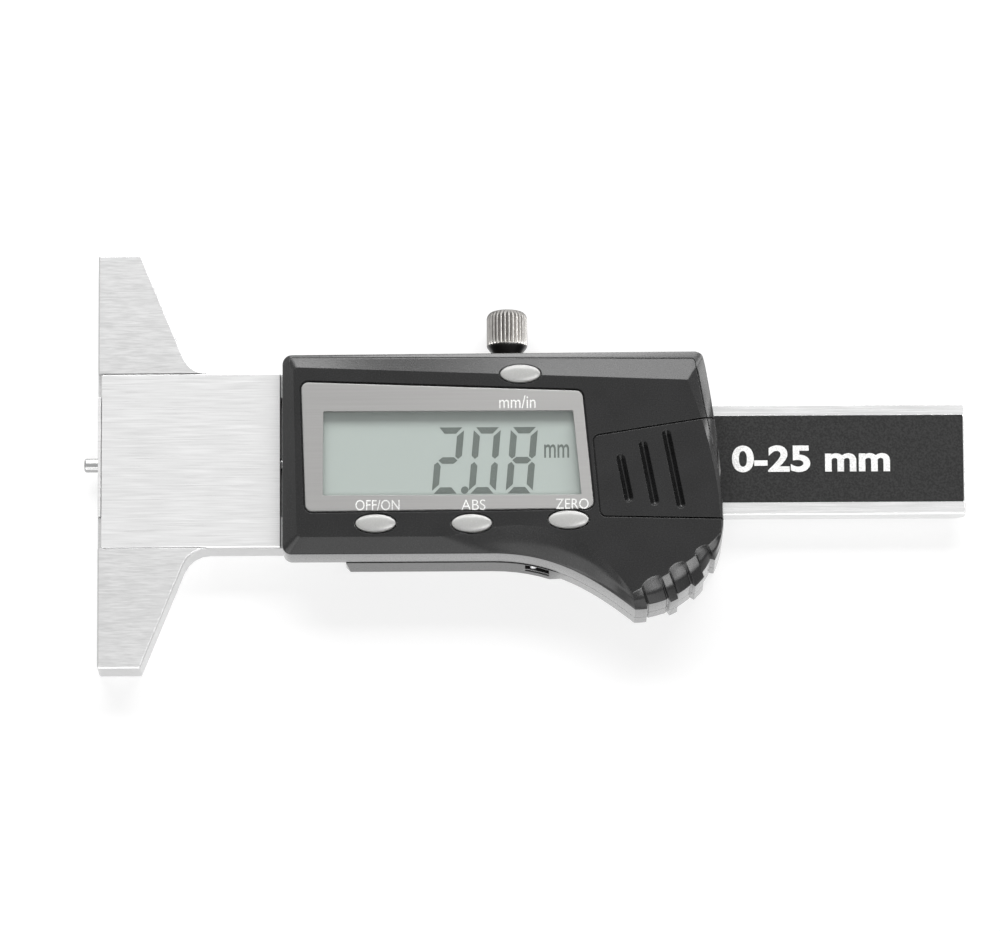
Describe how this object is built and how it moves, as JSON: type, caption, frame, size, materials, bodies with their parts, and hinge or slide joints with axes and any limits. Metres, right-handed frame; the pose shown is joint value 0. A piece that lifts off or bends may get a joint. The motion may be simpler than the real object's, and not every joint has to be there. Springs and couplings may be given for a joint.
{
  "type": "digital depth caliper",
  "caption": "Digital depth caliper: steel base with a flat measuring face, sliding beam and depth rod, display head with buttons, lock screw and sliding battery door.",
  "frame": {"origin": "on the base's flat back, on the tool's centre line, 10 mm behind the measuring face", "axes": "+X along the beam towards its free end, away from the measuring face; +Y across the tool towards the lock screw; +Z out of the display, away from the back that the tool lies on"},
  "size_m": [0.1255, 0.06, 0.0127],
  "materials": {
    "ground_steel": "ground",
    "beam_steel": "fine ground",
    "screw_steel": "plain",
    "dark_steel": "dark plated",
    "brass": "plain",
    "housing_black": "fine grain",
    "button_silver": "silver satin",
    "lens_grey": "clear window in a grey printed frame",
    "lcd_grey": "reflective display",
    "label_black": "satin film",
    "board_green": "coated board",
    "chip_black": "moulded",
    "rubber_grey": "soft",
    "contact_nickel": "nickel plated",
    "cell_steel": "bright can"
  },
  "bodies": {
    "head": {"base": "ground_steel", "base_cover_plate": "ground_steel", "rod_guide_block": "ground_steel", "guide_screw_1": "screw_steel", "guide_screw_2": "screw_steel", "frame_screw_1": "screw_steel", "frame_screw_2": "screw_steel", "stop_pin": "screw_steel", "side_screw": "screw_steel", "board_screw_1": "screw_steel", "board_screw_2": "screw_steel", "cover_screw_1": "dark_steel", "cover_screw_2": "dark_steel", "cover_screw_3": "dark_steel", "cover_screw_4": "dark_steel", "gib_screw_1": "dark_steel", "gib_screw_2": "dark_steel", "gib_strip": "brass", "front_housing": "housing_black", "rear_cover": "housing_black", "display_lens": "lens_grey", "lcd_panel": "lcd_grey", "main_board": "board_green", "sensor_chip": "chip_black", "switch_unit": "chip_black", "switch_power": "chip_black", "switch_abs": "chip_black", "switch_zero": "chip_black", "zebra_strip_low": "rubber_grey", "zebra_strip_high": "rubber_grey", "battery_contact_minus": "contact_nickel", "battery_contact_plus": "contact_nickel", "battery": "cell_steel"},
    "beam": {"beam": "beam_steel", "scale_strip": "board_green", "scale_label": "label_black", "depth_rod": "beam_steel", "rod_set_screw": "dark_steel"},
    "battery_door": {"battery_door": "housing_black"},
    "lock_pad": {"lock_pad": "brass"},
    "lock_screw": {"lock_screw": "dark_steel"},
    "button_unit": {"button_unit": "button_silver"},
    "button_power": {"button_power": "button_silver"},
    "button_abs": {"button_abs": "button_silver"},
    "button_zero": {"button_zero": "button_silver"}
  },
  "joints": [
    {"name": "beam_slide", "type": "slide", "parent": "head", "child": "beam", "axis": [-1, 0, 0], "range_m": [-0.0025, 0.0232]},
    {"name": "battery_door_slide", "type": "slide", "parent": "head", "child": "battery_door", "axis": [1, 0, 0], "range_m": [0, 0.016]},
    {"name": "lock_press", "type": "slide", "parent": "head", "child": "lock_pad", "axis": [0, -1, 0], "range_m": [-0.0005, 0.00027778]},
    {"name": "lock_turn", "type": "hinge", "parent": "lock_pad", "child": "lock_screw", "pos_m": [0.0483, 0.0135, 0.00325], "axis": [0, -1, 0], "range_deg": [-360, 200]},
    {"name": "button_unit_press", "type": "slide", "parent": "head", "child": "button_unit", "axis": [0, 0, -1], "range_m": [0, 0.0004], "stiffness_N_per_m": 300},
    {"name": "button_power_press", "type": "slide", "parent": "head", "child": "button_power", "axis": [0, 0, -1], "range_m": [0, 0.0004], "stiffness_N_per_m": 300},
    {"name": "button_abs_press", "type": "slide", "parent": "head", "child": "button_abs", "axis": [0, 0, -1], "range_m": [0, 0.0004], "stiffness_N_per_m": 300},
    {"name": "button_zero_press", "type": "slide", "parent": "head", "child": "button_zero", "axis": [0, 0, -1], "range_m": [0, 0.0004], "stiffness_N_per_m": 300}
  ],
  "couplings": [
    {"joint": "lock_turn", "follows": "lock_press", "rad_per_m": 12566}
  ]
}
